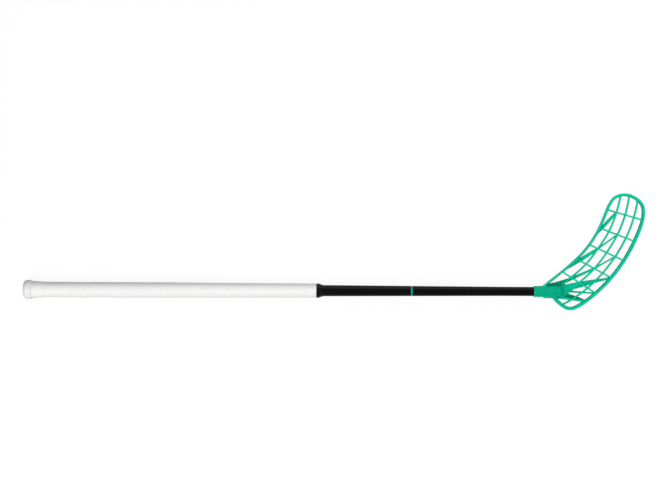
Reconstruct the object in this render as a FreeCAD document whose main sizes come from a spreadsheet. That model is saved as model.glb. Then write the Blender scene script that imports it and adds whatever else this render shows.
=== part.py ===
"""Floorball stick: wound grip, tapered composite shaft and an open-net moulded blade.

Millimetres. The origin is the middle of the butt's flat end. +X runs along the shaft to the blade,
+Y points from the heel to the toe, and +Z is the hollow forehand side of the blade.
"""
import FreeCAD, Part
import math
import os
import Sketcher

Vector = FreeCAD.Vector

# Driving sizes
SIZES = {
    # Shaft tube
    "shaft_length": 960.0,
    "handle_length": 227.0,
    "handle_radius": 11.35,
    "waist_radius": 10.05,
    "tip_radius": 8.2,
    "spigot_length": 98.0,
    "shaft_wall": 1.3,
    # Butt knob
    "end_wall": 3.0,
    "knob_length": 15.2,
    "knob_radius": 17.2,
    "knob_nose_round": 7.0,
    "knob_back_round": 3.0,
    "skirt_length": 21.0,
    "skirt_radius": 13.0,
    "skirt_lip": 0.15,
    "plug_length": 20.0,
    # Wound grip
    "grip_thickness": 2.45,
    "grip_pitch": 23.4,
    "grip_seam": 0.5,
    "grip_point": 2.0,
    "grip_skive": 0.55,
    "grip_skive_length": 8.0,
    "grip_start_angle": 91.0,
    # Finishing tape
    "tape_start": 527.8,
    "tape_length": 11.2,
    "tape_lap": 3.4,
    "tape_thickness": 0.55,
    "tape_tail": 0.95,
    "tape_shoulder": 2.0,
    "tape_ramp": 5.6,
    # Hosel, its glue and its screw
    "hosel_depth": 43.0,
    "hosel_length": 51.0,
    "hosel_radius": 10.15,
    "hosel_slant_angle": 13.0,
    "hosel_end_round": 4.2,
    "hosel_mouth_round": 0.5,
    "glue_film": 0.25,
    "glue_pad": 1.4,
    "screw_place": 24.0,
    "screw_boss_radius": 4.4,
    "screw_boss_height": 0.6,
    "screw_radius": 1.5,
    "screw_length": 7.0,
    "screw_point": 2.0,
    "screw_head_radius": 2.9,
    "screw_head_height": 1.8,
    "screw_head_round": 1.0,
    # Blade
    "blade_reach": 197.0,
    "toe_rise": 177.0,
    "rim_width": 5.8,
    "rim_depth": 10.0,
    "rim_round": 0.9,
    "rim_bevel_width": 1.3,
    "rim_bevel_depth": 6.0,
    "long_rib_width": 3.0,
    "cross_rib_width": 2.7,
    "net_depth": 5.6,
    "strut_width": 6.0,
    "strut_top": 2.0,
    "strut_dip": 4.8,
    "strut_back": 4.6,
    "tongue_top": 1.8,
    "tongue_back": 4.0,
    "hook_angle": 63.0,
    "hook_radius": 1500.0,
    # Fits
    "seat_gap": 0.05,
    "overrun": 1.0,
}

doc = FreeCAD.newDocument("floorball_stick")
sheet = doc.addObject("Spreadsheet::Sheet", "sizes")
for row, (alias, value) in enumerate(SIZES.items(), start=1):
    sheet.set(f"A{row}", alias)
    sheet.set(f"B{row}", str(value))
    sheet.setAlias(f"B{row}", alias)
doc.recompute()


def size(alias):
    """Value of one named size."""
    return float(sheet.get(alias))


def place(alias_sum):
    """Value of an expression written in the sheet's names."""
    return float(sheet.evalExpression(alias_sum.replace("sizes.", "")))


# Places along the shaft that several pieces share
TUBE_START = "sizes.end_wall"
TUBE_END = "(sizes.end_wall + sizes.shaft_length)"
HANDLE_END = "(sizes.end_wall + sizes.handle_length)"
TAPE_END = "(sizes.tape_start + sizes.tape_length)"
GRIP_END = "(sizes.tape_start + sizes.tape_lap)"
MOUTH = f"({TUBE_END} - sizes.hosel_depth)"
BORE_FLOOR = f"({TUBE_END} + sizes.glue_pad)"
GLUE_INSIDE = "(sizes.tip_radius + sizes.seat_gap)"
GLUE_OUTSIDE = f"({GLUE_INSIDE} + sizes.glue_film)"
BORE_RADIUS = f"({GLUE_OUTSIDE} + sizes.seat_gap)"
SCREW_X = f"({MOUTH} + sizes.screw_place)"
SCREW_SEAT = "(sizes.hosel_radius + sizes.screw_boss_height)"
SCREW_HOLE = "(sizes.screw_radius + sizes.seat_gap)"
HANDLE_TAPER = f"((sizes.handle_radius - sizes.waist_radius) / ({TAPE_END} - {HANDLE_END}))"
LAP_RADIUS = f"(sizes.waist_radius + {HANDLE_TAPER} * (sizes.tape_length - sizes.tape_lap))"


# Turned pieces
def origin_feature(body, role):
    """Plane or axis of a body's own origin."""
    return next(feature for feature in body.Origin.OriginFeatures if feature.Role == role)


def attached_sketch(body, name, role):
    sketch = body.newObject("Sketcher::SketchObject", name)
    sketch.AttachmentSupport = [(origin_feature(body, role), "")]
    sketch.MapMode = "FlatFace"
    return sketch


def pin_point(sketch, line, end, along, across):
    """Hold one end of a sketch line at a place given by two expressions."""
    for kind, axis, expression in (("DistanceX", -2, along), ("DistanceY", -1, across)):
        if expression == "0":
            sketch.addConstraint(Sketcher.Constraint("PointOnObject", line, end, axis))
            continue
        number = sketch.addConstraint(Sketcher.Constraint(kind, -1, 1, line, end, place(expression)))
        sketch.setExpression(f"Constraints[{number}]", expression)


def outline(sketch, corners):
    """Closed run of straight lines through corners written as pairs of expressions."""
    points = [Vector(place(along), place(across), 0) for along, across in corners]
    count = len(points)
    for number in range(count):
        sketch.addGeometry(Part.LineSegment(points[number], points[(number + 1) % count]), False)
    for number in range(count):
        sketch.addConstraint(Sketcher.Constraint("Coincident", number, 2, (number + 1) % count, 1))
    for number, (along, across) in enumerate(corners):
        pin_point(sketch, number, 1, along, across)


def turned(label, corners, plane="XY_Plane", axis="H_Axis"):
    """Body turned from a profile about an axis of its own sketch."""
    body = doc.addObject("PartDesign::Body", label)
    sketch = attached_sketch(body, label + "_profile", plane)
    outline(sketch, corners)
    turning = body.newObject("PartDesign::Revolution", label + "_turning")
    turning.Profile = sketch
    turning.ReferenceAxis = (sketch, [axis])
    turning.Angle = 360
    doc.recompute()
    return body


def ring_edge(shape, along, radius):
    """Name of the circular edge at a place along X with a radius."""
    for number, edge in enumerate(shape.Edges, start=1):
        if not isinstance(edge.Curve, Part.Circle):
            continue
        same_place = abs(edge.Curve.Center.x - along) < size("seat_gap") / 2
        if same_place and abs(edge.Curve.Radius - radius) < size("seat_gap") / 2:
            return f"Edge{number}"
    raise LookupError(f"no ring of radius {radius} at {along}")


def round_ring(body, along, radius, rounding):
    """Fillet one ring of a turned body."""
    base = body.Tip
    fillet = body.newObject("PartDesign::Fillet", f"{body.Name}_{rounding}")
    fillet.Base = (base, [ring_edge(base.Shape, place(along), place(radius))])
    fillet.setExpression("Radius", f"sizes.{rounding}")
    doc.recompute()


def drill_screw_hole(body):
    """Hole for the blade screw through the lower wall."""
    before = body.Shape.Volume
    sketch = attached_sketch(body, body.Name + "_screw_hole", "XY_Plane")
    middle = Vector(place(SCREW_X), 0, 0)
    circle = sketch.addGeometry(Part.Circle(middle, Vector(0, 0, 1), place(SCREW_HOLE)))
    sketch.addConstraint(Sketcher.Constraint("PointOnObject", circle, 3, -1))
    number = sketch.addConstraint(Sketcher.Constraint("DistanceX", -1, 1, circle, 3, place(SCREW_X)))
    sketch.setExpression(f"Constraints[{number}]", SCREW_X)
    number = sketch.addConstraint(Sketcher.Constraint("Radius", circle, place(SCREW_HOLE)))
    sketch.setExpression(f"Constraints[{number}]", SCREW_HOLE)
    hole = body.newObject("PartDesign::Pocket", body.Name + "_drilling")
    hole.Profile = sketch
    hole.setExpression("Length", SCREW_SEAT)
    doc.recompute()
    if body.Shape.Volume >= before:
        raise RuntimeError(f"the screw hole missed {body.Name}")


# Shaft tube: two tapers and a parallel spigot for the blade, with an even wall
shaft_line = (
    (TUBE_START, "sizes.handle_radius"),
    (HANDLE_END, "sizes.handle_radius"),
    (TAPE_END, "sizes.waist_radius"),
    (f"{TUBE_END} - sizes.spigot_length", "sizes.tip_radius"),
    (TUBE_END, "sizes.tip_radius"),
)
inner_line = tuple((along, f"{radius} - sizes.shaft_wall") for along, radius in reversed(shaft_line))
shaft = turned("shaft_tube", shaft_line + inner_line)
drill_screw_hole(shaft)

# Butt knob: soft cap with a plug inside the tube and a skirt that feathers out over it
TUBE_BORE = "(sizes.handle_radius - sizes.shaft_wall - sizes.seat_gap)"
TUBE_OVER = "(sizes.handle_radius + sizes.seat_gap)"
SKIRT_END = "(sizes.knob_length + sizes.skirt_length)"
knob = turned("butt_knob", (
    ("0", "0"),
    ("0", "sizes.knob_radius"),
    ("sizes.knob_length", "sizes.knob_radius"),
    ("sizes.knob_length", "sizes.skirt_radius"),
    (SKIRT_END, f"{TUBE_OVER} + sizes.skirt_lip"),
    (SKIRT_END, TUBE_OVER),
    (TUBE_START, TUBE_OVER),
    (TUBE_START, TUBE_BORE),
    ("sizes.end_wall + sizes.plug_length", TUBE_BORE),
    ("sizes.end_wall + sizes.plug_length", "0"),
))
round_ring(knob, "0", "sizes.knob_radius", "knob_nose_round")
round_ring(knob, "sizes.knob_length", "sizes.knob_radius", "knob_back_round")

# Finishing tape: a few layers over the thinned end of the grip, down a ramp and on to the shaft
TAPE_PRESS_SHARE = 0.55
PRESSED_GRIP = f"(sizes.grip_thickness - sizes.grip_skive * {TAPE_PRESS_SHARE})"
TAPE_BORE = f"({LAP_RADIUS} + 2 * sizes.seat_gap + {PRESSED_GRIP})"
TAPE_OVER = f"({TAPE_BORE} + sizes.tape_thickness)"
SHAFT_OVER = f"({LAP_RADIUS} + sizes.seat_gap)"
TAIL_OVER = f"({LAP_RADIUS} + sizes.tape_tail)"
finishing_tape = turned("finishing_tape", (
    ("sizes.tape_start", TAPE_BORE),
    ("sizes.tape_start", TAPE_OVER),
    (f"{GRIP_END} + sizes.tape_shoulder", TAPE_OVER),
    (f"{GRIP_END} + sizes.tape_ramp", TAIL_OVER),
    (TAPE_END, TAIL_OVER),
    (TAPE_END, SHAFT_OVER),
    (f"{GRIP_END} + sizes.seat_gap", SHAFT_OVER),
    (f"{GRIP_END} + sizes.seat_gap", TAPE_BORE),
))

# Hosel glue: hot-melt film round the spigot and a pad under its end
glue = turned("hosel_glue", (
    (MOUTH, GLUE_INSIDE),
    (MOUTH, GLUE_OUTSIDE),
    (BORE_FLOOR, GLUE_OUTSIDE),
    (BORE_FLOOR, "0"),
    (TUBE_END, "0"),
    (TUBE_END, GLUE_INSIDE),
))
drill_screw_hole(glue)

# Blade screw: pan head on the hosel's boss, its point inside the tube
SCREW_TIP = f"({SCREW_SEAT} - sizes.screw_length)"
screw = turned("blade_screw", (
    ("0", f"-({SCREW_SEAT} + sizes.screw_head_height)"),
    ("sizes.screw_head_radius", f"-({SCREW_SEAT} + sizes.screw_head_height)"),
    ("sizes.screw_head_radius", f"-{SCREW_SEAT}"),
    ("sizes.screw_radius", f"-{SCREW_SEAT}"),
    ("sizes.screw_radius", f"-({SCREW_TIP} + sizes.screw_point)"),
    ("0", f"-{SCREW_TIP}"),
), plane="XZ_Plane", axis="V_Axis")
head = screw.Tip
crown = max(
    (edge for edge in head.Shape.Edges if isinstance(edge.Curve, Part.Circle)),
    key=lambda edge: (-round(edge.Curve.Center.z, 3), edge.Curve.Radius),
)
crown_name = next(f"Edge{n}" for n, edge in enumerate(head.Shape.Edges, start=1) if edge.isSame(crown))
rounding = screw.newObject("PartDesign::Fillet", "screw_head_rounding")
rounding.Base = (head, [crown_name])
rounding.setExpression("Radius", "sizes.screw_head_round")
screw.setExpression("Placement.Base.x", SCREW_X)

# Wound grip: one unbroken strip, cut to a long point at both ends so that it starts and stops square
QUARTER_STEPS = 4
winding_start = size("knob_length")
winding_end = place(GRIP_END)
pitch = size("grip_pitch")


def seat_radius(along):
    """Radius of what the strip lies on: the knob's skirt, then the tube."""
    handle_end = place(HANDLE_END)
    tube = size("handle_radius") - max(0.0, along - handle_end) * place(HANDLE_TAPER)
    skirt_end = place(SKIRT_END)
    lip = place(TUBE_OVER) + size("skirt_lip")
    flare = (size("skirt_radius") - lip) / size("skirt_length")
    skirt = lip + (skirt_end - along) * flare
    return max(tube, skirt) + size("seat_gap")


def strip_corner(turn, edge, layer):
    """Corner of the strip's section after some turns: edge is low or high, layer inner or outer."""
    along = winding_start + pitch * turn - size("grip_seam")
    if edge == "low":
        along = along - pitch + size("grip_seam")
    along = min(max(along, winding_start), winding_end)
    radius = seat_radius(along)
    if layer == "outer":
        skived = (along - size("tape_start")) / size("grip_skive_length") + 1
        radius += size("grip_thickness") - size("grip_skive") * min(max(skived, 0.0), 1.0)
    angle = math.radians(size("grip_start_angle")) - math.tau * turn
    return Vector(along, radius * math.cos(angle), radius * math.sin(angle))


first_turn = (size("grip_point") + size("grip_seam")) / pitch
last_turn = (winding_end - size("grip_point") - winding_start) / pitch + 1
square_turn = (winding_end - winding_start + size("grip_seam")) / pitch
quarters = [n / 4 for n in range(math.ceil(first_turn * 4), math.ceil(last_turn * 4))]
stations = sorted({first_turn, square_turn, last_turn, *quarters})
CORNERS = (("low", "inner"), ("high", "inner"), ("high", "outer"), ("low", "outer"))


def strip_edge(corner, start, stop):
    """Smooth edge of the strip between two stations."""
    steps = [start + (stop - start) * n / QUARTER_STEPS for n in range(QUARTER_STEPS + 1)]
    curve = Part.BSplineCurve()
    curve.interpolate([strip_corner(turn, *corner) for turn in steps])
    return curve.toShape()


strip_faces = []
for start, stop in zip(stations, stations[1:]):
    edges = [strip_edge(corner, start, stop) for corner in CORNERS]
    strip_faces += [Part.makeRuledSurface(edges[n], edges[(n + 1) % 4]) for n in range(4)]
for turn in (first_turn, last_turn):
    section = [strip_corner(turn, *corner) for corner in CORNERS]
    strip_faces.append(Part.Face(Part.makePolygon(section + section[:1])))
strip_shell = Part.Compound(strip_faces)
strip_shell.sewShape()
strip = Part.Solid(strip_shell.Shells[0])
if strip.Volume < 0:
    strip.reverse()
grip = doc.addObject("Part::Feature", "grip_tape")
grip.Shape = strip

least_gap = min(
    strip_corner(turn + 1, "low", layer).distanceToPoint(strip_corner(turn, "high", layer))
    for turn in quarters for layer in ("inner", "outer") if turn < square_turn - 1
)
print(f"grip: {last_turn - first_turn:.1f} turns, least gap between turns {least_gap:.2f} mm")

# Blade plan: places are shares of the blade's reach along X and the toe's rise along Y, from the mouth
RIM_SHARES = (
    # along, across, width
    (0.065, 0.027, 0.68), (0.192, 0.141, 0.74), (0.344, 0.282, 0.76), (0.472, 0.429, 0.79),
    (0.578, 0.610, 0.82), (0.637, 0.760, 0.85), (0.677, 0.875, 0.87), (0.731, 0.958, 0.88),
    (0.814, 0.986, 0.88), (0.898, 0.960, 0.88), (0.976, 0.875, 0.88), (0.986, 0.771, 0.90),
    (0.944, 0.599, 0.95), (0.845, 0.366, 0.97), (0.700, 0.136, 0.98), (0.540, -0.041, 0.99),
    (0.423, -0.136, 1.01), (0.328, -0.172, 1.06), (0.252, -0.131, 1.10), (0.170, -0.036, 1.05),
)
CROSS_RIB_SHARES = (
    # upper end, sole end, from the toe to the heel
    ((0.666, 0.833), (0.982, 0.732)),
    ((0.602, 0.647), (0.913, 0.516)),
    ((0.505, 0.479), (0.820, 0.319)),
    ((0.400, 0.328), (0.705, 0.145)),
    ((0.265, 0.200), (0.568, -0.016)),
)
LONG_RIB_SHARES = (
    # share of each cross rib, toe end, heel end
    (0.25, (0.779, 0.978), (0.254, 0.075)),
    (0.50, (0.857, 0.974), (0.268, -0.052)),
    (0.75, (0.932, 0.925), (0.268, -0.129)),
)


def spot(along_share, across_share):
    """Point of the blade's plan."""
    along = along_share * size("blade_reach")
    return Vector(along, across_share * size("toe_rise"), -size("rim_depth"))


def crossing(row, share):
    """Shares of the point some way along a cross rib."""
    upper, sole = CROSS_RIB_SHARES[row]
    return tuple(a + (b - a) * share for a, b in zip(upper, sole))


STRAIGHT_LEAN = 1e-6


def headings(points):
    """Directions at points of the smooth curve through them."""
    curve = Part.BSplineCurve()
    curve.interpolate(points)
    return [Vector(*curve.tangent(curve.parameter(point))[0]) for point in points]


def tangent_arc(start, heading, stop):
    """Arc that leaves start in a direction and ends at stop."""
    chord = stop - start
    lean = math.atan2(chord.cross(heading).z, chord.dot(heading))
    if abs(lean) < STRAIGHT_LEAN:
        return Part.makeLine(start, stop)
    left = Vector(-chord.y, chord.x, 0)
    return Part.Arc(start, (start + stop) / 2 + left * (math.tan(lean / 2) / 2), stop).toShape()


def biarcs(points):
    """Smooth line through points, as two arcs that share a tangent between each point and the next."""
    edges = []
    ways = headings(points)
    for start, stop, way_out, way_in in zip(points, points[1:], ways, ways[1:]):
        chord = stop - start
        reach = chord.Length / 2
        bend = 2 * (1 - way_out.dot(way_in))
        if bend > STRAIGHT_LEAN:
            both = chord.dot(way_out + way_in)
            reach = (math.sqrt(both ** 2 + bend * chord.dot(chord)) - both) / bend
        first, last = start + way_out * reach, stop - way_in * reach
        joint = (first + last) / 2
        edges += [tangent_arc(start, way_out, joint), tangent_arc(joint, last - first, stop)]
    return edges


def band(points, widths):
    """Flat strip of changing width along a smooth line."""
    sides = ([], [])
    for point, way, width in zip(points, headings(points), widths):
        across = Vector(-way.y, way.x, 0) * (width / 2)
        sides[0].append(point + across)
        sides[1].append(point - across)
    edges = [Part.makeLine(sides[0][end], sides[1][end]) for end in (0, -1)]
    for side in sides:
        edges += [Part.makeLine(*side)] if len(side) == 2 else biarcs(side)
    return Part.Face(Part.Wire(Part.__sortEdges__(edges)))


def share_band(rows, full_width):
    """Flat strip from rows of place shares and a width share."""
    points = [spot(along, across) for along, across, width in rows]
    return band(points, [width * full_width for along, across, width in rows])


def plan(name, faces):
    """Flat faces joined into one plan."""
    joined = faces[0].multiFuse(faces[1:]).removeSplitter() if len(faces) > 1 else faces[0]
    feature = doc.addObject("Part::Feature", name)
    feature.Shape = joined
    return feature


rim_plan = plan("rim_plan", [share_band(RIM_SHARES, size("rim_width"))])

rib_faces = []
for row in range(len(CROSS_RIB_SHARES)):
    rib_faces.append(band([spot(*crossing(row, end)) for end in (0, 1)], [size("cross_rib_width")] * 2))
for share, toe_end, heel_end in LONG_RIB_SHARES:
    route = [toe_end, *(crossing(row, share) for row in range(len(CROSS_RIB_SHARES))), heel_end]
    rib_faces.append(band([spot(*point) for point in route], [size("long_rib_width")] * len(route)))
net_plan = plan("net_plan", rib_faces)

UPPER_SHARE, MIDDLE_SHARE, LOWER_SHARE = (row[0] for row in LONG_RIB_SHARES)
STRUT_SHARES = (
    # share of the full depth, shares of the dip at both ends, then rows of along, across, width
    (1.00, (1.0, 0.0), ((0.560, 0.573, 0.30), (0.626, 0.659, 0.90), (*crossing(0, UPPER_SHARE), 0.50))),
    (1.00, (1.0, 0.0), ((0.277, 0.217, 0.30), (0.436, 0.332, 1.08), (*crossing(2, UPPER_SHARE), 0.58))),
    (0.80, (0.0, 0.0), ((*crossing(2, UPPER_SHARE), 0.48), (*crossing(1, MIDDLE_SHARE), 0.45))),
    (1.00, (1.0, 0.0), ((0.102, 0.054, 0.40), (0.146, 0.066, 0.90), (0.206, 0.079, 1.06),
                        (0.255, 0.093, 1.20), (0.284, 0.103, 1.15), (0.324, 0.122, 0.98),
                        (0.430, 0.175, 0.78), (*crossing(3, MIDDLE_SHARE), 0.62))),
    (1.00, (1.0, 0.9), ((0.108, 0.045, 0.50), (0.190, 0.057, 1.10), (0.285, 0.066, 1.00))),
    (0.80, (0.0, 0.0), ((*crossing(3, MIDDLE_SHARE), 0.48), (*crossing(2, LOWER_SHARE), 0.42))),
    (0.96, (0.2, 0.4), ((0.339, 0.052, 1.97), (0.390, 0.063, 1.77), (0.461, 0.081, 1.60),
                        (0.503, 0.094, 1.34), (0.570, 0.110, 0.97), (*crossing(3, 1), 0.66))),
    (0.72, (0.1, 0.0), ((0.320, 0.002, 0.56), (*crossing(4, 1), 0.48))),
    (0.88, (0.0, 0.0), ((0.088, -0.057, 0.62), (0.178, -0.058, 0.62), (0.327, -0.074, 0.66),
                        (0.473, -0.097, 0.58))),
    (1.04, (0.9, 0.7), ((0.256, -0.030, 1.50), (0.330, -0.045, 1.15), (0.469, -0.091, 0.50))),
)
TONGUE_ROOT_SHARE = 0.82 * size("hosel_length") / size("blade_reach")
TONGUE_SHARES = (
    (TONGUE_ROOT_SHARE, 0.004, 3.30), (0.272, 0.013, 3.30), (0.320, 0.038, 2.50), (0.400, 0.065, 1.30),
)
tongue_plan = plan("tongue_plan", [share_band(TONGUE_SHARES, size("strut_width"))])


# Hook: every layer of the blade is cut from a slab that curls evenly from the hosel up to the toe
SLAB_REACH = "(sizes.blade_reach + sizes.toe_rise)"
hook_turn = math.radians(size("hook_angle"))
hook_way = Vector(math.cos(hook_turn), math.sin(hook_turn), 0)
up = Vector(0, 0, 1)
hook_plane = FreeCAD.Placement(Vector(), FreeCAD.Rotation(hook_way, up, hook_way.cross(up), "XYZ"))


def middle_height(reach):
    """Height of the blade's middle surface some way along the hook."""
    return size("hook_radius") - math.sqrt(size("hook_radius") ** 2 - reach ** 2)


def raised_slab(name, sketch):
    """Slab from a profile, wide enough for the whole blade."""
    slab = doc.addObject("Part::Extrusion", name)
    slab.Base = sketch
    slab.DirMode = "Normal"
    slab.Solid = True
    slab.Symmetric = True
    slab.setExpression("LengthFwd", f"2 * {SLAB_REACH}")
    return slab


def hook_slab(name, low, high):
    """Curled slab between two heights above the blade's middle surface."""
    sketch = doc.addObject("Sketcher::SketchObject", name + "_profile")
    reach = place(SLAB_REACH)
    centre = Vector(0, size("hook_radius"), 0)
    down = -math.pi / 2
    arcs = []
    for level in (low, high):
        radius = size("hook_radius") - place(level)
        sweep = math.asin(reach / radius)
        circle = Part.Circle(centre, Vector(0, 0, 1), radius)
        arcs.append(Part.ArcOfCircle(circle, down - sweep, down + sweep))
    lower, upper = arcs
    near_end = Part.LineSegment(lower.StartPoint, upper.StartPoint)
    far_end = Part.LineSegment(lower.EndPoint, upper.EndPoint)
    sketch.addGeometry([lower, upper, near_end, far_end], False)
    for line, end, arc in ((2, 1, 0), (2, 2, 1), (3, 1, 0), (3, 2, 1)):
        sketch.addConstraint(Sketcher.Constraint("Coincident", line, end, arc, line - 1))
    sketch.addConstraint(Sketcher.Constraint("Coincident", 0, 3, 1, 3))
    for line in (2, 3):
        sketch.addConstraint(Sketcher.Constraint("Vertical", line))
    sketch.addConstraint(Sketcher.Constraint("PointOnObject", 0, 3, -2))
    for kind, where, expression in (
        ("DistanceY", (-1, 1, 0, 3), "sizes.hook_radius"),
        ("DistanceX", (0, 1, -1, 1), SLAB_REACH),
        ("DistanceX", (-1, 1, 0, 2), SLAB_REACH),
        ("Radius", (0,), f"sizes.hook_radius - ({low})"),
        ("Radius", (1,), f"sizes.hook_radius - ({high})"),
    ):
        number = sketch.addConstraint(Sketcher.Constraint(kind, *where, place(expression)))
        sketch.setExpression(f"Constraints[{number}]", expression)
    sketch.Placement = hook_plane
    return raised_slab(name, sketch)


def ramp_slab(name, rows, depth_share, dip_shares):
    """Slab with a curled back, whose top ramps from one end of a strut to the other."""
    ends = [spot(*rows[end][:2]).dot(hook_way) for end in (0, -1)]
    tops = [depth_share * size("strut_top") - share * size("strut_dip") for share in dip_shares]
    slope = (tops[1] - tops[0]) / (ends[1] - ends[0])
    edges, corners = [], []
    for top in (True, False):
        line = []
        for reach in (min(ends) - size("strut_width"), sum(ends) / 2, max(ends) + size("strut_width")):
            level = tops[0] + slope * (reach - ends[0]) if top else -depth_share * size("strut_back")
            line.append(Vector(reach, middle_height(reach) + level, 0))
        edges.append(Part.Arc(*line).toShape())
        corners.append(line)
    edges += [Part.makeLine(corners[0][end], corners[1][end]) for end in (0, -1)]
    profile = doc.addObject("Part::Feature", name + "_profile")
    profile.Shape = Part.Face(Part.Wire(Part.__sortEdges__(edges)))
    profile.Placement = hook_plane
    return raised_slab(name, profile)


def boolean(kind, name, base, tool):
    """Boolean of two solids, with every face kept as it is cut."""
    result = doc.addObject(kind, name)
    result.Base = base
    result.Tool = tool
    result.Refine = False
    return result


def curled(name, flat, slab):
    """Plan raised into a prism and cut from a curled slab."""
    prism = doc.addObject("Part::Extrusion", name + "_prism")
    prism.Base = flat
    prism.DirMode = "Custom"
    prism.Dir = Vector(0, 0, 1)
    prism.Solid = True
    prism.setExpression("LengthFwd", "sizes.toe_rise")
    return boolean("Part::Common", name, prism, slab)


rim_slab = hook_slab("rim_slab", "-sizes.rim_depth / 2", "sizes.rim_depth / 2")
sharp_rim = curled("sharp_rim", rim_plan, rim_slab)
net_slab = hook_slab("net_slab", "-sizes.net_depth / 2", "sizes.net_depth / 2")
net = curled("net", net_plan, net_slab)
tongue_slab = hook_slab("tongue_slab", "-sizes.tongue_back", "sizes.tongue_top")
tongue = curled("tongue", tongue_plan, tongue_slab)
struts = []
for number, (depth_share, dip_shares, rows) in enumerate(STRUT_SHARES, start=1):
    strut_plan = plan(f"strut_plan_{number}", [share_band(rows, size("strut_width"))])
    strut_slab = ramp_slab(f"strut_slab_{number}", rows, depth_share, dip_shares)
    struts.append(curled(f"strut_{number}", strut_plan, strut_slab))
doc.recompute()


def rounded(name, base, edges):
    """Fillet of numbered edges, each with its own radius."""
    fillet = doc.addObject("Part::Fillet", name)
    fillet.Base = base
    fillet.Edges = [(number, radius, radius) for number, radius in edges]
    return fillet


# The rim's inner wall leans back towards the net. A bevel runs on along a smooth line of edges
rim_route = [spot(along, across) for along, across, width in RIM_SHARES]
inside_rim = Part.Face(Part.Wire(biarcs(rim_route) + [Part.makeLine(rim_route[-1], rim_route[0])]))


def long_edges(shape):
    """Numbers and middle points of a rim's longest edges."""
    longest = max(edge.Length for edge in shape.Edges)
    return [
        (number, edge.valueAt((edge.FirstParameter + edge.LastParameter) / 2))
        for number, edge in enumerate(shape.Edges, start=1) if edge.Length > longest / 2
    ]


def is_inner(point):
    """Whether a point lies inside the rim's middle line."""
    return inside_rim.isInside(Vector(point.x, point.y, -size("rim_depth")), size("seat_gap"), True)


def is_front(point):
    """Whether a point lies in front of the blade's middle surface."""
    return point.z > middle_height(point.dot(hook_way))


bevelled_rim = doc.addObject("Part::Chamfer", "bevelled_rim")
bevelled_rim.Base = sharp_rim
bevelled_rim.Edges = [
    (number, size("rim_bevel_width"), size("rim_bevel_depth"))
    for number, point in long_edges(sharp_rim.Shape) if is_inner(point) and is_front(point)
]
doc.recompute()
rim = rounded("rim", bevelled_rim, [
    (number, size("rim_round"))
    for number, point in long_edges(bevelled_rim.Shape) if not (is_inner(point) and is_front(point))
])


# Hosel: a closed socket with a slanted, rounded end and a flat boss for the screw
def along_x(name, start, radius, length):
    """Cylinder lying along X."""
    cylinder = doc.addObject("Part::Cylinder", name)
    cylinder.Placement = FreeCAD.Placement(Vector(), FreeCAD.Rotation(Vector(0, 1, 0), 90))
    cylinder.setExpression("Placement.Base.x", start)
    cylinder.setExpression("Radius", radius)
    cylinder.setExpression("Height", length)
    return cylinder


def below_axis(name, radius, bottom):
    """Upright cylinder at the screw, from some way below the shaft's axis up to it."""
    cylinder = doc.addObject("Part::Cylinder", name)
    cylinder.setExpression("Placement.Base.x", "sizes.screw_place")
    cylinder.setExpression("Placement.Base.z", f"-({bottom})")
    cylinder.setExpression("Radius", radius)
    cylinder.setExpression("Height", bottom)
    return cylinder


barrel = along_x("hosel_barrel", "0", "sizes.hosel_radius", "sizes.hosel_length + sizes.hosel_radius")
trim = doc.addObject("Part::Box", "hosel_trim")
for side in ("Length", "Width", "Height"):
    trim.setExpression(side, "4 * sizes.hosel_radius")
slant = FreeCAD.Rotation(Vector(0, 0, 1), size("hosel_slant_angle"))
corner = slant.multVec(Vector(0, -2 * size("hosel_radius"), -2 * size("hosel_radius")))
trim.Placement = FreeCAD.Placement(Vector(size("hosel_length"), 0, 0) + corner, slant)
socket = boolean("Part::Cut", "hosel_socket", barrel, trim)
doc.recompute()
hosel_rings = []
for number, edge in enumerate(socket.Shape.Edges, start=1):
    box = edge.BoundBox
    if box.XMax < size("seat_gap"):
        hosel_rings.append((number, size("hosel_mouth_round")))
    elif box.YLength > size("hosel_radius"):
        hosel_rings.append((number, size("hosel_end_round")))
rounded_socket = rounded("hosel_rounding", socket, hosel_rings)
boss = below_axis("screw_boss", "sizes.screw_boss_radius", SCREW_SEAT)

moulding = doc.addObject("Part::MultiFuse", "moulding")
moulding.Shapes = [rim, net, *struts, tongue, rounded_socket, boss]
moulding.Refine = False
BORE_LENGTH = "sizes.overrun + sizes.hosel_depth + sizes.glue_pad"
bore = along_x("hosel_bore", "-sizes.overrun", BORE_RADIUS, BORE_LENGTH)
bored = boolean("Part::Cut", "bored_moulding", moulding, bore)
screw_way = below_axis("screw_way", SCREW_HOLE, f"{SCREW_SEAT} + sizes.overrun")
blade = boolean("Part::Cut", "blade", bored, screw_way)
blade.setExpression("Placement.Base.x", MOUTH)
doc.recompute()

# Hand over each piece
pieces = (shaft, blade, knob, grip, finishing_tape, glue, screw)
for item in doc.Objects:
    if {"Invalid", "Error"} & set(item.State):
        raise RuntimeError(f"{item.Name} failed: {item.State}")
os.makedirs("parts", exist_ok=True)
for piece in pieces:
    shape = piece.Shape
    if shape.isNull() or not shape.isValid():
        raise RuntimeError(f"{piece.Label} has no valid shape")
    print(f"{piece.Label}: {len(shape.Solids)} solid, {shape.Volume / 1000:.2f} cm3")
for piece in pieces:
    piece.Shape.exportStep(f"parts/{piece.Label}.step")
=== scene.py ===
import math

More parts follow.
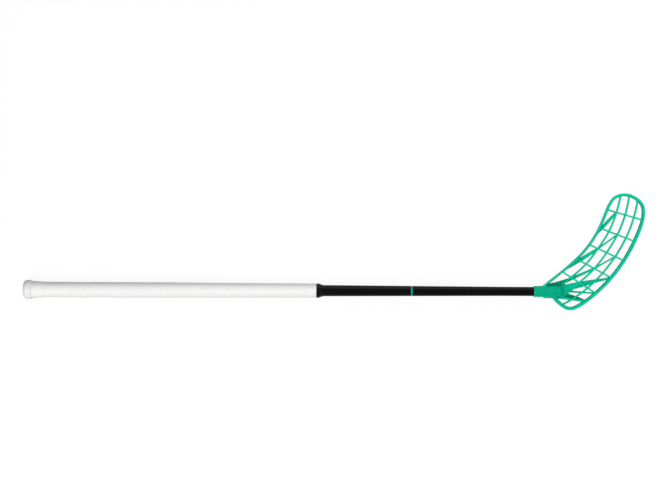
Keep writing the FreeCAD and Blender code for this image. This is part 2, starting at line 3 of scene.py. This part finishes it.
import bpy
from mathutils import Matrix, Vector


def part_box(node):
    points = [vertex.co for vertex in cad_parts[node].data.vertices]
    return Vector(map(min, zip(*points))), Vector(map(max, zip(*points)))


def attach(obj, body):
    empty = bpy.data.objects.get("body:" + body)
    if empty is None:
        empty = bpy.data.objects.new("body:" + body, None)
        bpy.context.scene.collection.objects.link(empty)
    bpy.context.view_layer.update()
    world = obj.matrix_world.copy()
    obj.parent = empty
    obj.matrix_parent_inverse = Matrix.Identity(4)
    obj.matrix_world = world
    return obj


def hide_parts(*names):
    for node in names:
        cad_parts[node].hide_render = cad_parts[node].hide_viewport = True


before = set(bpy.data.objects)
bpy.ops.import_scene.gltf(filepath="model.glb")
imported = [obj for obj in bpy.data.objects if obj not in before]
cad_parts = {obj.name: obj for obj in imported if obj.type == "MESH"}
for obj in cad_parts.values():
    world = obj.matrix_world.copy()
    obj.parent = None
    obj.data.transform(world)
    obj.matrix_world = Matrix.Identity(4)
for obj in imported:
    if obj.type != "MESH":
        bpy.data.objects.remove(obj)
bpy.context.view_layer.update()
bpy.ops.object.select_all(action="DESELECT")
MM = 0.001


# Shaft: a tapered tube of carbon and glass fibre in epoxy, rolled round a steel mandrel and cured, then
# lacquered gloss black. One green ring is printed under the lacquer. The knob, the grip and the blade
# are all fixed to it.
SHAFT_START, SHAFT_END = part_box("shaft_tube")[0].x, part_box("shaft_tube")[1].x
SHAFT_WALL = 1.3 * MM
HANDLE_END, HANDLE_RADIUS = 230 * MM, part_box("shaft_tube")[1].y
WAIST, WAIST_RADIUS = 539 * MM, 10.05 * MM
SPIGOT_START, TIP_RADIUS = 865 * MM, 8.2 * MM
RING_PLACE, RING_WIDTH = 699.7 * MM, 2.7 * MM
FIBRE_LENGTH, FIBRE_WIDTH = 60 * MM, 0.8 * MM
DUST_SIZE = 3 * MM
MERGE_DISTANCE = 0.001 * MM
CREASE_ANGLE = math.radians(40)


def turned_piece(name, stations, closed_ends, sides=96):
    """Ring drawn out along X through stations of place and radius. An open run ends where it began."""
    bpy.ops.object.select_all(action="DESELECT")
    (start, radius), *others = stations
    bpy.ops.mesh.primitive_circle_add(
        vertices=sides, radius=radius, location=(start, 0, 0), rotation=(0, math.pi / 2, 0)
    )
    piece = bpy.context.active_object
    piece.name = name
    bpy.ops.object.transform_apply(location=True, rotation=True, scale=True)
    bpy.ops.object.mode_set(mode="EDIT")
    bpy.ops.mesh.select_all(action="SELECT")
    if closed_ends:
        bpy.ops.mesh.edge_face_add()
    for place, wanted in others:
        bpy.ops.mesh.extrude_region_move(TRANSFORM_OT_translate={"value": (place - start, 0, 0)})
        share = wanted / radius
        bpy.ops.transform.resize(value=(1, share, share), center_override=(place, 0, 0))
        start, radius = place, wanted
    bpy.ops.mesh.select_all(action="SELECT")
    bpy.ops.mesh.remove_doubles(threshold=MERGE_DISTANCE)
    bpy.ops.mesh.normals_make_consistent(inside=False)
    bpy.ops.object.mode_set(mode="OBJECT")
    bpy.ops.object.shade_smooth_by_angle(angle=CREASE_ANGLE)
    return piece


def linear(hex_colour):
    """Linear colour of an sRGB hex value."""
    shares = [int(hex_colour[n:n + 2], 16) / 255 for n in (1, 3, 5)]
    return [s / 12.92 if s <= 0.04045 else ((s + 0.055) / 1.055) ** 2.4 for s in shares] + [1.0]


def add_node(tree, kind, inputs=None, **settings):
    """Node with its settings, its input values and its links from other sockets."""
    node = tree.nodes.new(kind)
    for name, value in settings.items():
        setattr(node, name, value)
    for socket, value in (inputs or {}).items():
        if isinstance(value, bpy.types.NodeSocket):
            tree.links.new(value, node.inputs[socket])
        else:
            node.inputs[socket].default_value = value
    return node


def new_material(name):
    """Material with an empty tree, and its surface coordinates."""
    material = bpy.data.materials.new(name)
    material.use_nodes = True
    tree = material.node_tree
    tree.nodes.clear()
    return material, tree, add_node(tree, "ShaderNodeTexCoord").outputs["Object"]


def finish_material(tree, inputs):
    """Principled surface with its inputs, joined to the output."""
    shader = add_node(tree, "ShaderNodeBsdfPrincipled", inputs)
    add_node(tree, "ShaderNodeOutputMaterial", {"Surface": shader.outputs["BSDF"]})


def dress(piece, material, node):
    """Give a new piece its finish and the place of its solid on the stick."""
    piece.data.materials.clear()
    piece.data.materials.append(material)
    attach(piece, "root")
    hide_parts(node)


shaft = turned_piece("shaft", [
    (SHAFT_START, HANDLE_RADIUS),
    (HANDLE_END, HANDLE_RADIUS),
    (WAIST, WAIST_RADIUS),
    (SPIGOT_START, TIP_RADIUS),
    (SHAFT_END, TIP_RADIUS),
    (SHAFT_END, TIP_RADIUS - SHAFT_WALL),
    (SPIGOT_START, TIP_RADIUS - SHAFT_WALL),
    (WAIST, WAIST_RADIUS - SHAFT_WALL),
    (HANDLE_END, HANDLE_RADIUS - SHAFT_WALL),
    (SHAFT_START, HANDLE_RADIUS - SHAFT_WALL),
    (SHAFT_START, HANDLE_RADIUS),
], closed_ends=False)

# Black lacquer over carbon fibre: deep and even, with a sharp clear coat. The fibres under it only just
# show as long streaks, and a little dust dulls the gloss in patches.
lacquer, tree, spot = new_material("black_lacquer_on_carbon")
streaks = add_node(tree, "ShaderNodeMapping", {
    "Vector": spot, "Scale": (1 / FIBRE_LENGTH, 1 / FIBRE_WIDTH, 1 / FIBRE_WIDTH),
})
fibres = add_node(tree, "ShaderNodeTexNoise", {"Vector": streaks.outputs[0], "Scale": 1.0, "Detail": 3.0})
black = add_node(tree, "ShaderNodeMix", {
    "Factor": fibres.outputs["Fac"], "A": linear("#040405"), "B": linear("#0a0b0e"),
}, data_type="RGBA")
along = add_node(tree, "ShaderNodeSeparateXYZ", {0: spot})
on_ring = add_node(tree, "ShaderNodeMath", {
    0: along.outputs["X"], 1: RING_PLACE, 2: RING_WIDTH / 2,
}, operation="COMPARE")
colour = add_node(tree, "ShaderNodeMix", {
    "Factor": on_ring.outputs[0], "A": black.outputs["Result"], "B": linear("#00a587"),
}, data_type="RGBA")
dust = add_node(tree, "ShaderNodeTexNoise", {"Vector": spot, "Scale": 1 / DUST_SIZE, "Detail": 4.0})
gloss = add_node(tree, "ShaderNodeMapRange", {
    "Value": dust.outputs["Fac"], "From Min": 0.35, "From Max": 0.75, "To Min": 0.28, "To Max": 0.40,
})
finish_material(tree, {
    "Base Color": colour.outputs["Result"], "Roughness": gloss.outputs[0], "IOR": 1.3,
})
dress(shaft, lacquer, "shaft_tube")


# Butt knob: a soft cap moulded in white thermoplastic rubber. Its plug is pressed into the tube, and its
# skirt feathers out under the first turns of the grip.
KNOB_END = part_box("butt_knob")[1].x
KNOB_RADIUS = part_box("butt_knob")[1].y
KNOB_LENGTH = 15.2 * MM
NOSE_ROUND, BACK_ROUND = 7 * MM, 3 * MM
SKIRT_RADIUS, SKIRT_LIP = 13 * MM, 0.2 * MM
PLUG_END = 23 * MM
ROUND_STEPS = 10
RUBBER_GRAIN = 0.9 * MM


def quarter_round(middle, radius, turn_start):
    """Stations of a quarter circle, from an angle that turns towards +X."""
    steps = [turn_start - math.pi / 2 * n / ROUND_STEPS for n in range(ROUND_STEPS + 1)]
    return [(middle[0] + radius * math.cos(a), middle[1] + radius * math.sin(a)) for a in steps]


nose = quarter_round((NOSE_ROUND, KNOB_RADIUS - NOSE_ROUND), NOSE_ROUND, math.pi)
back = quarter_round((KNOB_LENGTH - BACK_ROUND, KNOB_RADIUS - BACK_ROUND), BACK_ROUND, math.pi / 2)
knob = turned_piece("knob", [
    *nose,
    *back,
    (KNOB_LENGTH, SKIRT_RADIUS),
    (KNOB_END, HANDLE_RADIUS + SKIRT_LIP),
    (KNOB_END, HANDLE_RADIUS),
    (SHAFT_START, HANDLE_RADIUS),
    (SHAFT_START, HANDLE_RADIUS - SHAFT_WALL),
    (PLUG_END, HANDLE_RADIUS - SHAFT_WALL),
], closed_ends=True)

# White thermoplastic rubber: an even off-white with a soft moulded grain that keeps its gloss low. The grain
# is drawn coarser than the real one, so that it shows.
rubber, tree, spot = new_material("white_moulded_rubber")
grain = add_node(tree, "ShaderNodeTexNoise", {"Vector": spot, "Scale": 1 / RUBBER_GRAIN, "Detail": 2.0})
white = add_node(tree, "ShaderNodeMix", {
    "Factor": grain.outputs["Fac"], "A": linear("#e7e6e4"), "B": linear("#eeedeb"),
}, data_type="RGBA")
relief = add_node(tree, "ShaderNodeBump", {
    "Height": grain.outputs["Fac"], "Strength": 0.2, "Distance": 0.1 * MM,
})
finish_material(tree, {
    "Base Color": white.outputs["Result"], "Roughness": 0.55, "IOR": 1.48, "Normal": relief.outputs[0],
})
dress(knob, rubber, "butt_knob")


# Wound grip: one long strip of foamed polyurethane on felt, wound left-handed from the knob with its edges
# side by side. It is cut square at both ends, its rounded edges leave a fine spiral seam, and its end is
# thinned where the tape binds it.
GRIP_START, GRIP_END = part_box("grip_tape")[0].x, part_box("grip_tape")[1].x
GRIP_PITCH = 23.4 * MM
GRIP_SEAM = 0.08 * MM
GRIP_THICKNESS = 2.45 * MM
GRIP_EDGE_ROUND, EDGE_STEPS = 0.16 * MM, 4
GRIP_CROWN, CROWN_CUT_SHARES = 0.06 * MM, (-0.3, 0.0, 0.3)
GRIP_START_ANGLE = math.radians(91)
STRIP_CREASE_ANGLE = math.radians(50)
TURN_STEPS = 72
FIRST_TURN_RISE = 0.35 * MM
RISE_END, RISE_FADE = 1.5, 0.5
SKIVE, SKIVE_START = 0.4 * MM, 519.8 * MM
HOLE_SPACING, HOLE_RADIUS = 4.2 * MM, 0.45 * MM
HOLE_EDGE_SHARES, CELL_MIDDLE = (0.7, 1.3), (0.5, 0.5, 0)
LEATHER_GRAIN, GRAIN_SHARE = 0.7 * MM, 0.25
SEAT_GAP = 0.05 * MM


def seat_radius(along):
    """Radius of what the strip lies on: the knob's skirt, then the tapered tube."""
    taper = (HANDLE_RADIUS - WAIST_RADIUS) / (WAIST - HANDLE_END)
    tube = HANDLE_RADIUS - max(0.0, along - HANDLE_END) * taper
    flare = (SKIRT_RADIUS - HANDLE_RADIUS - SKIRT_LIP) / (KNOB_END - KNOB_LENGTH)
    return max(tube, HANDLE_RADIUS + SKIRT_LIP + (KNOB_END - along) * flare) + SEAT_GAP


bpy.ops.object.select_all(action="DESELECT")
strip_width = GRIP_PITCH - GRIP_SEAM
strip_middle = Vector((GRIP_START - strip_width / 2, HANDLE_RADIUS + GRIP_THICKNESS / 2, 0))
bpy.ops.mesh.primitive_plane_add(size=1, location=strip_middle)
grip = bpy.context.active_object
grip.name = "grip"
grip.scale = (strip_width, GRIP_THICKNESS, 1)
bpy.ops.object.transform_apply(location=True, rotation=True, scale=True)
bpy.ops.object.mode_set(mode="EDIT")
bpy.ops.mesh.select_mode(type="VERT")
bpy.ops.mesh.select_all(action="SELECT")
bpy.ops.mesh.bevel(offset=GRIP_EDGE_ROUND, segments=EDGE_STEPS, affect="VERTICES")
bpy.ops.mesh.select_all(action="SELECT")
bpy.ops.mesh.delete(type="ONLY_FACE")
for share in CROWN_CUT_SHARES:
    bpy.ops.mesh.select_all(action="SELECT")
    cut = (strip_middle.x + share * strip_width, 0, 0)
    bpy.ops.mesh.bisect(plane_co=cut, plane_no=(1, 0, 0))
bpy.ops.object.mode_set(mode="OBJECT")
winding = grip.modifiers.new("winding", "SCREW")
winding.axis = "X"
winding.angle = -math.tau
winding.screw_offset = GRIP_PITCH
winding.iterations = math.ceil((GRIP_END - GRIP_START) / GRIP_PITCH) + 1
winding.steps = winding.render_steps = TURN_STEPS
winding.use_smooth_shade = True
bpy.ops.object.modifier_apply(modifier=winding.name)
grip.rotation_euler = (GRIP_START_ANGLE, 0, 0)
bpy.ops.object.transform_apply(location=True, rotation=True, scale=True)
bpy.ops.object.mode_set(mode="EDIT")
for place, side in ((GRIP_START, 1), (GRIP_END, -1)):
    bpy.ops.mesh.select_all(action="SELECT")
    bpy.ops.mesh.bisect(plane_co=(place, 0, 0), plane_no=(side, 0, 0), clear_inner=True, use_fill=True)
bpy.ops.mesh.select_all(action="SELECT")
bpy.ops.mesh.remove_doubles(threshold=MERGE_DISTANCE)
bpy.ops.mesh.normals_make_consistent(inside=False)
bpy.ops.object.mode_set(mode="OBJECT")

# Each point keeps its place along and across the strip, for the punched pattern. Then the strip is laid on
# its seat, with a crowned face, a thicker first turn over the knob's skirt and a thinned end.
strip_places = grip.data.attributes.new("strip_place", "FLOAT_VECTOR", "POINT")
for vertex in grip.data.vertices:
    x, y, z = vertex.co
    radius = math.hypot(y, z)
    angle = math.atan2(z, y)
    part_turn = (GRIP_START_ANGLE - angle) / math.tau % 1
    whole_turns = math.ceil((x - GRIP_START - GRIP_SEAM / 2) / GRIP_PITCH - part_turn)
    turn = part_turn + whole_turns
    across = x - GRIP_START - GRIP_PITCH * turn + strip_width
    strip_places.data[vertex.index].vector = (turn * math.tau * HANDLE_RADIUS, across, 0)
    height = radius - HANDLE_RADIUS
    share = across / strip_width
    if height > GRIP_THICKNESS / 2:
        skived = min(max((x - SKIVE_START) / (GRIP_END - SKIVE_START), 0), 1)
        height += GRIP_CROWN * (1 - (2 * share - 1) ** 2) - SKIVE * skived
        height += FIRST_TURN_RISE * min(max((RISE_END - turn) / RISE_FADE, 0), 1)
    radius = seat_radius(x) + height
    vertex.co = (x, radius * math.cos(angle), radius * math.sin(angle))
grip.data.update()
bpy.ops.object.shade_smooth_by_angle(angle=STRIP_CREASE_ANGLE)

# Foamed polyurethane on felt: matt white with a fine leather grain, and punched all over in even rows that
# wind round with the strip.
foam, tree, spot = new_material("white_foamed_polyurethane")
strip = add_node(tree, "ShaderNodeAttribute", attribute_name="strip_place")
rows = add_node(tree, "ShaderNodeVectorMath", {
    0: strip.outputs["Vector"], 1: (1 / HOLE_SPACING, 1 / HOLE_SPACING, 0),
}, operation="MULTIPLY")
cell = add_node(tree, "ShaderNodeVectorMath", {0: rows.outputs[0]}, operation="FRACTION")
from_middle = add_node(tree, "ShaderNodeVectorMath", {
    0: cell.outputs[0], 1: CELL_MIDDLE,
}, operation="DISTANCE")
hole = add_node(tree, "ShaderNodeMapRange", {
    "Value": from_middle.outputs["Value"],
    "From Min": HOLE_RADIUS / HOLE_SPACING * HOLE_EDGE_SHARES[0],
    "From Max": HOLE_RADIUS / HOLE_SPACING * HOLE_EDGE_SHARES[1],
    "To Min": 0.0,
    "To Max": 1.0,
}, interpolation_type="SMOOTHSTEP")
grain = add_node(tree, "ShaderNodeTexNoise", {"Vector": spot, "Scale": 1 / LEATHER_GRAIN, "Detail": 3.0})
white = add_node(tree, "ShaderNodeMix", {
    "Factor": grain.outputs["Fac"], "A": linear("#ebebea"), "B": linear("#f5f5f4"),
}, data_type="RGBA")
punched = add_node(tree, "ShaderNodeMix", {
    "Factor": hole.outputs[0], "A": linear("#b8b8b7"), "B": white.outputs["Result"],
}, data_type="RGBA")
height = add_node(tree, "ShaderNodeMath", {
    0: grain.outputs["Fac"], 1: GRAIN_SHARE, 2: hole.outputs[0],
}, operation="MULTIPLY_ADD")
relief = add_node(tree, "ShaderNodeBump", {
    "Height": height.outputs[0], "Strength": 0.35, "Distance": 0.25 * MM,
})
finish_material(tree, {
    "Base Color": punched.outputs["Result"], "Roughness": 0.68, "IOR": 1.45, "Normal": relief.outputs[0],
})
dress(grip, foam, "grip_tape")


# Finishing tape: a few turns of glossy black vinyl tape that bind the thinned end of the grip and run down
# on to the shaft. It is stretched on by hand and sticks to itself.
TAPE_START, TAPE_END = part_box("finishing_tape")[0].x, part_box("finishing_tape")[1].x
TAPE_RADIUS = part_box("finishing_tape")[1].y
TAPE_EDGE = 0.3 * MM
TAPE_RAMP_START, TAPE_RAMP_END = 533.2 * MM, 536.8 * MM
TAPE_TAIL_RADIUS = 11.0 * MM
TAPE_WRINKLE = 5 * MM
tape = turned_piece("vinyl_tape", [
    (TAPE_START, TAPE_RADIUS - TAPE_EDGE),
    (TAPE_START + TAPE_EDGE, TAPE_RADIUS),
    (TAPE_RAMP_START, TAPE_RADIUS),
    (TAPE_RAMP_END, TAPE_TAIL_RADIUS),
    (TAPE_END - TAPE_EDGE, TAPE_TAIL_RADIUS),
    (TAPE_END, TAPE_TAIL_RADIUS - TAPE_EDGE),
    (TAPE_END, WAIST_RADIUS),
    (TAPE_START, TAPE_RADIUS - 2 * TAPE_EDGE),
    (TAPE_START, TAPE_RADIUS - TAPE_EDGE),
], closed_ends=False)

# Black vinyl tape: smooth and shiny, pulled into shallow wrinkles that break its highlight.
vinyl, tree, spot = new_material("black_vinyl_tape")
wrinkles = add_node(tree, "ShaderNodeTexNoise", {
    "Vector": spot, "Scale": 1 / TAPE_WRINKLE, "Detail": 2.0, "Distortion": 0.6,
})
relief = add_node(tree, "ShaderNodeBump", {
    "Height": wrinkles.outputs["Fac"], "Strength": 0.6, "Distance": 0.5 * MM,
})
black = add_node(tree, "ShaderNodeMix", {
    "Factor": wrinkles.outputs["Fac"], "A": linear("#060607"), "B": linear("#0d0e10"),
}, data_type="RGBA")
finish_material(tree, {
    "Base Color": black.outputs["Result"], "Roughness": 0.26, "IOR": 1.38, "Normal": relief.outputs[0],
})
dress(tape, vinyl, "finishing_tape")


# Blade: one injection moulding in tough polyethylene. A rounded rim carries a net of ribs, struts behind
# the net lead the load to the hosel, and every corner is softened by the mould's radius.
MOULD_VOXEL = 0.45 * MM
MOULD_ROUNDING, MOULD_ROUNDING_STEPS = 0.5, 2
BLADE_TRIANGLES = 180_000
HOSEL_MOUTH, HOSEL_LENGTH, HOSEL_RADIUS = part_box("blade")[0].x, 51 * MM, 11 * MM
NET_FULLNESS = 0.15 * MM
bpy.ops.object.select_all(action="DESELECT")
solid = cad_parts["blade"]
blade = solid.copy()
blade.data = solid.data.copy()
blade.name = "net_blade"
for note in list(blade.keys()):
    del blade[note]
blade.parent = None
bpy.context.scene.collection.objects.link(blade)
bpy.context.view_layer.objects.active = blade
blade.select_set(True)
bpy.ops.object.mode_set(mode="EDIT")
bpy.ops.mesh.select_all(action="SELECT")
bpy.ops.mesh.remove_doubles(threshold=MERGE_DISTANCE)
bpy.ops.object.mode_set(mode="OBJECT")
moulding = blade.modifiers.new("moulding", "REMESH")
moulding.mode = "VOXEL"
moulding.voxel_size = MOULD_VOXEL
bpy.ops.object.modifier_apply(modifier=moulding.name)

# The net is a touch fuller than its solid, so that its ribs don't look too thin against the white table
net = blade.vertex_groups.new(name="net")
net.add([
    v.index for v in blade.data.vertices
    if v.co.x > HOSEL_MOUTH + HOSEL_LENGTH or math.hypot(v.co.y, v.co.z) > HOSEL_RADIUS
], 1.0, "ADD")
fullness = blade.modifiers.new("fullness", "DISPLACE")
fullness.vertex_group = net.name
fullness.mid_level = 0.0
fullness.strength = NET_FULLNESS
bpy.ops.object.modifier_apply(modifier=fullness.name)
softening = blade.modifiers.new("softening", "SMOOTH")
softening.factor = MOULD_ROUNDING
softening.iterations = MOULD_ROUNDING_STEPS
bpy.ops.object.modifier_apply(modifier=softening.name)
thinning = blade.modifiers.new("thinning", "DECIMATE")
thinning.ratio = min(1.0, BLADE_TRIANGLES / (2 * len(blade.data.polygons)))
bpy.ops.object.modifier_apply(modifier=thinning.name)
bpy.ops.object.shade_smooth()

# Painted shade: each point's depth behind the net's curled front and its nearness to the net's root paint
# the green darker on upward faces, where the deep struts and pockets lie in shade; its height on the hosel
# paints the hosel's top darker.
HOOK_TURN, HOOK_RADIUS = math.radians(63), 1500 * MM
NET_FRONT, STRUT_DEPTH = 2.8 * MM, 3.6 * MM
HEEL_REACH, NET_REACH, NET_STRUT_SHADE = 35 * MM, 80 * MM, 0.35
HOSEL_FOOT, HOSEL_RISE, HOSEL_SHADE = 5.5 * MM, 1.5 * MM, 0.5
ROOT_REACH, ROOT_SHADE = 34 * MM, 0.6
FRONT_TILT = 0.2
painted_shade = blade.data.attributes.new("painted_shade", "FLOAT", "POINT")
for vertex in blade.data.vertices:
    reach = (vertex.co.x - HOSEL_MOUTH) * math.cos(HOOK_TURN) + vertex.co.y * math.sin(HOOK_TURN)
    height = vertex.co.z - reach ** 2 / (2 * HOOK_RADIUS)
    sunk = min(max((NET_FRONT - height) / STRUT_DEPTH, 0), 1)
    away = min(max((reach - HEEL_REACH) / (NET_REACH - HEEL_REACH), 0), 1)
    sunk *= 1 - (1 - NET_STRUT_SHADE) * away
    raised = min(max((height - HOSEL_FOOT) / HOSEL_RISE, 0), 1) * HOSEL_SHADE
    from_root = math.hypot(vertex.co.x - HOSEL_MOUTH - HOSEL_LENGTH, vertex.co.y)
    rooted = max(1 - from_root / ROOT_REACH, 0) * ROOT_SHADE
    on_front = min(max(vertex.normal.z / FRONT_TILT, 0), 1)
    painted_shade.data[vertex.index].value = max(sunk, raised, rooted) * on_front

# Nothing of the fuller net passes the solid's own box
blade_low, blade_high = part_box("blade")
for vertex in blade.data.vertices:
    vertex.co = [min(max(c, low), high) for c, low, high in zip(vertex.co, blade_low, blade_high)]
blade.data.update()

# Green polyethylene: a strong colour with a waxy, half-gloss skin, fine mould grit and a little unevenness
# where the melt flowed. Light passes a little way into it. The deep struts, the net's root and the hosel's
# top are painted a darker green, as painted shade. The grit is drawn coarser than the real one, so that it
# shows.
GRIT = 0.6 * MM
FLOW = 25 * MM
polyethylene, tree, spot = new_material("green_moulded_polyethylene")
flow = add_node(tree, "ShaderNodeTexNoise", {"Vector": spot, "Scale": 1 / FLOW, "Detail": 2.0})
thin_green = add_node(tree, "ShaderNodeMix", {
    "Factor": flow.outputs["Fac"], "A": linear("#00bf99"), "B": linear("#00caa4"),
}, data_type="RGBA")
# Painted shade: this share turns the green to the darker green
painted_shade_share = add_node(tree, "ShaderNodeAttribute", attribute_name="painted_shade")
green = add_node(tree, "ShaderNodeMix", {
    "Factor": painted_shade_share.outputs["Fac"], "A": thin_green.outputs["Result"], "B": linear("#008a66"),
}, data_type="RGBA")
grit = add_node(tree, "ShaderNodeTexNoise", {"Vector": spot, "Scale": 1 / GRIT, "Detail": 2.0})
relief = add_node(tree, "ShaderNodeBump", {
    "Height": grit.outputs["Fac"], "Strength": 0.12, "Distance": 0.1 * MM,
})
gloss = add_node(tree, "ShaderNodeMapRange", {
    "Value": flow.outputs["Fac"], "From Min": 0.3, "From Max": 0.7, "To Min": 0.36, "To Max": 0.46,
})
finish_material(tree, {
    "Base Color": green.outputs["Result"],
    "Roughness": gloss.outputs[0],
    "IOR": 1.25,
    "Subsurface Weight": 0.5,
    "Subsurface Radius": (0.3, 1.0, 0.8),
    "Subsurface Scale": 2 * MM,
    "Normal": relief.outputs[0],
})
dress(blade, polyethylene, "blade")


# Hosel glue: amber hot-melt that fills the gap between the tube and the hosel. It is out of sight but for
# a hairline at the hosel's mouth, and keeps the shape of its solid.
GLUE_CLOUD = 4 * MM
glue, tree, spot = new_material("amber_hot_melt_glue")
cloud = add_node(tree, "ShaderNodeTexNoise", {"Vector": spot, "Scale": 1 / GLUE_CLOUD, "Detail": 2.0})
amber = add_node(tree, "ShaderNodeMix", {
    "Factor": cloud.outputs["Fac"], "A": linear("#b58a3c"), "B": linear("#d9b36a"),
}, data_type="RGBA")
finish_material(tree, {"Base Color": amber.outputs["Result"], "Roughness": 0.35, "IOR": 1.49})
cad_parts["hosel_glue"].data.materials.clear()
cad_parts["hosel_glue"].data.materials.append(glue)


# Blade screw: a small zinc-plated steel screw with a pan head and a cross recess. It is driven through the
# back of the hosel into the tube so that the blade can't turn.
HEAD_FACE, SCREW_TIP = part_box("blade_screw")[0].z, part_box("blade_screw")[1].z
HEAD_RADIUS = (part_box("blade_screw")[1].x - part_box("blade_screw")[0].x) / 2
SCREW_PLACE = (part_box("blade_screw")[1].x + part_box("blade_screw")[0].x) / 2
HEAD_HEIGHT, HEAD_ROUND = 1.8 * MM, 1.0 * MM
SHANK_RADIUS, POINT_LENGTH, POINT_RADIUS = 1.5 * MM, 2 * MM, 0.15 * MM
RECESS_LENGTH, RECESS_WIDTH, RECESS_DEPTH = 3.4 * MM, 0.8 * MM, 1.1 * MM
head_seat = HEAD_FACE + HEAD_HEIGHT
head_edge = quarter_round((HEAD_FACE + HEAD_ROUND, HEAD_RADIUS - HEAD_ROUND), HEAD_ROUND, math.pi)
screw = turned_piece("pan_head_screw", [
    *head_edge,
    (head_seat, HEAD_RADIUS),
    (head_seat, SHANK_RADIUS),
    (SCREW_TIP - POINT_LENGTH, SHANK_RADIUS),
    (SCREW_TIP, POINT_RADIUS),
], closed_ends=True, sides=48)
screw.rotation_euler = (0, -math.pi / 2, 0)
screw.location = (SCREW_PLACE, 0, 0)
bpy.ops.object.transform_apply(location=True, rotation=True, scale=True)
for slot_turn in (0, math.pi / 2):
    bpy.ops.object.select_all(action="DESELECT")
    bpy.ops.mesh.primitive_cube_add(
        size=1, location=(SCREW_PLACE, 0, HEAD_FACE), rotation=(0, 0, slot_turn),
        scale=(RECESS_LENGTH, RECESS_WIDTH, 2 * RECESS_DEPTH),
    )
    driver_slot = bpy.context.active_object
    bpy.context.view_layer.objects.active = screw
    recess = screw.modifiers.new("recess", "BOOLEAN")
    recess.object = driver_slot
    recess.operation = "DIFFERENCE"
    bpy.ops.object.modifier_apply(modifier=recess.name)
    bpy.data.objects.remove(driver_slot)
screw.select_set(True)
bpy.ops.object.shade_smooth_by_angle(angle=CREASE_ANGLE)

# Zinc plate on steel: pale grey metal, brightest on the turned rim and clouded by the plating bath.
PLATE_GRAIN = 1.5 * MM
zinc, tree, spot = new_material("zinc_plated_steel")
plating = add_node(tree, "ShaderNodeTexNoise", {"Vector": spot, "Scale": 1 / PLATE_GRAIN, "Detail": 2.0})
shine = add_node(tree, "ShaderNodeMapRange", {
    "Value": plating.outputs["Fac"], "From Min": 0.3, "From Max": 0.7, "To Min": 0.25, "To Max": 0.4,
})
finish_material(tree, {
    "Base Color": linear("#c3c5c8"), "Metallic": 1.0, "Roughness": shine.outputs[0],
})
dress(screw, zinc, "blade_screw")


# Studio: the stick lies on a plain white table under three soft boxes, and most of the light comes from
# below the picture.
FLOOR_SIZE = 12.0
FLOOR_LEVEL = -KNOB_RADIUS
WHITE_SHARE, GLOSS_SHARE = 0.92, 0.1
bpy.ops.object.select_all(action="DESELECT")
bpy.ops.mesh.primitive_plane_add(size=FLOOR_SIZE, location=(SHAFT_END / 2, 0, FLOOR_LEVEL))
floor = bpy.context.active_object
floor.name = "floor"
bpy.ops.object.transform_apply(location=True, rotation=True, scale=True)

# White table board: nearly pure white to the camera, with the stick's soft shadow left on it. Other light
# meets it as a grey board, so that its bounce leaves the stick's edges shaded.
table = bpy.data.materials.new("white_table")
table.use_nodes = True
tree = table.node_tree
tree.nodes.clear()
path = add_node(tree, "ShaderNodeLightPath")
board_colour = add_node(tree, "ShaderNodeMix", {
    "Factor": path.outputs["Is Camera Ray"], "A": linear("#a0a0a0"), "B": linear("#ffffff"),
}, data_type="RGBA")
board = add_node(tree, "ShaderNodeBsdfDiffuse", {"Color": board_colour.outputs["Result"]})
white_out = add_node(tree, "ShaderNodeEmission", {"Color": (1, 1, 1, 1), "Strength": 1.0})
mirrored = add_node(tree, "ShaderNodeMath", {
    0: path.outputs["Is Glossy Ray"], 1: path.outputs["Is Transmission Ray"],
}, operation="MAXIMUM")
gloss_share = add_node(tree, "ShaderNodeMath", {
    0: mirrored.outputs[0], 1: GLOSS_SHARE,
}, operation="MULTIPLY")
share = add_node(tree, "ShaderNodeMath", {
    0: path.outputs["Is Camera Ray"], 1: WHITE_SHARE, 2: gloss_share.outputs[0],
}, operation="MULTIPLY_ADD")
both = add_node(tree, "ShaderNodeMixShader", {
    0: share.outputs[0], 1: board.outputs[0], 2: white_out.outputs[0],
})
add_node(tree, "ShaderNodeOutputMaterial", {"Surface": both.outputs[0]})
floor.data.materials.append(table)

SKY_LEVEL = 0.18
LAMP_AIM = Vector((0.6, 0, 0))
world = bpy.data.worlds.new("studio")
bpy.context.scene.world = world
world.use_nodes = True
sky = world.node_tree.nodes["Background"]
sky.inputs["Color"].default_value = (1, 1, 1, 1)
sky.inputs["Strength"].default_value = SKY_LEVEL


def lamp(name, place, size, watts, shines):
    """Square soft box that faces the stick. It either shines in glossy surfaces or lights matt ones."""
    data = bpy.data.lights.new(name, "AREA")
    data.size = size
    data.energy = watts
    box = bpy.data.objects.new(name, data)
    box.location = place
    box.rotation_euler = (LAMP_AIM - Vector(place)).to_track_quat("-Z", "Y").to_euler()
    box.visible_glossy = shines
    box.visible_diffuse = not shines
    bpy.context.scene.collection.objects.link(box)


lamp("key", place=(-0.2, -1.5, 2.5), size=2.4, watts=88, shines=False)
lamp("fill", place=(1.4, 1.0, 0.9), size=1.0, watts=12, shines=False)
lamp("sheen", place=(0.6, 2.6, 0.9), size=1.8, watts=12, shines=True)

# Camera: straight above the stick, with the picture turned a quarter of a degree
CAMERA_PLACE = (0.5585, 0.0734, 3.24)
CAMERA_TURN = math.radians(0.234)
SENSOR_WIDTH, FOCAL_LENGTH = 36.0, 96.93
camera_data = bpy.data.cameras.new("camera")
camera_data.sensor_width = SENSOR_WIDTH
camera_data.lens = FOCAL_LENGTH
camera = bpy.data.objects.new("camera", camera_data)
camera.location = CAMERA_PLACE
camera.rotation_euler = (0, 0, CAMERA_TURN)
bpy.context.scene.collection.objects.link(camera)
bpy.context.scene.camera = camera
bpy.context.scene.view_settings.view_transform = "Standard"
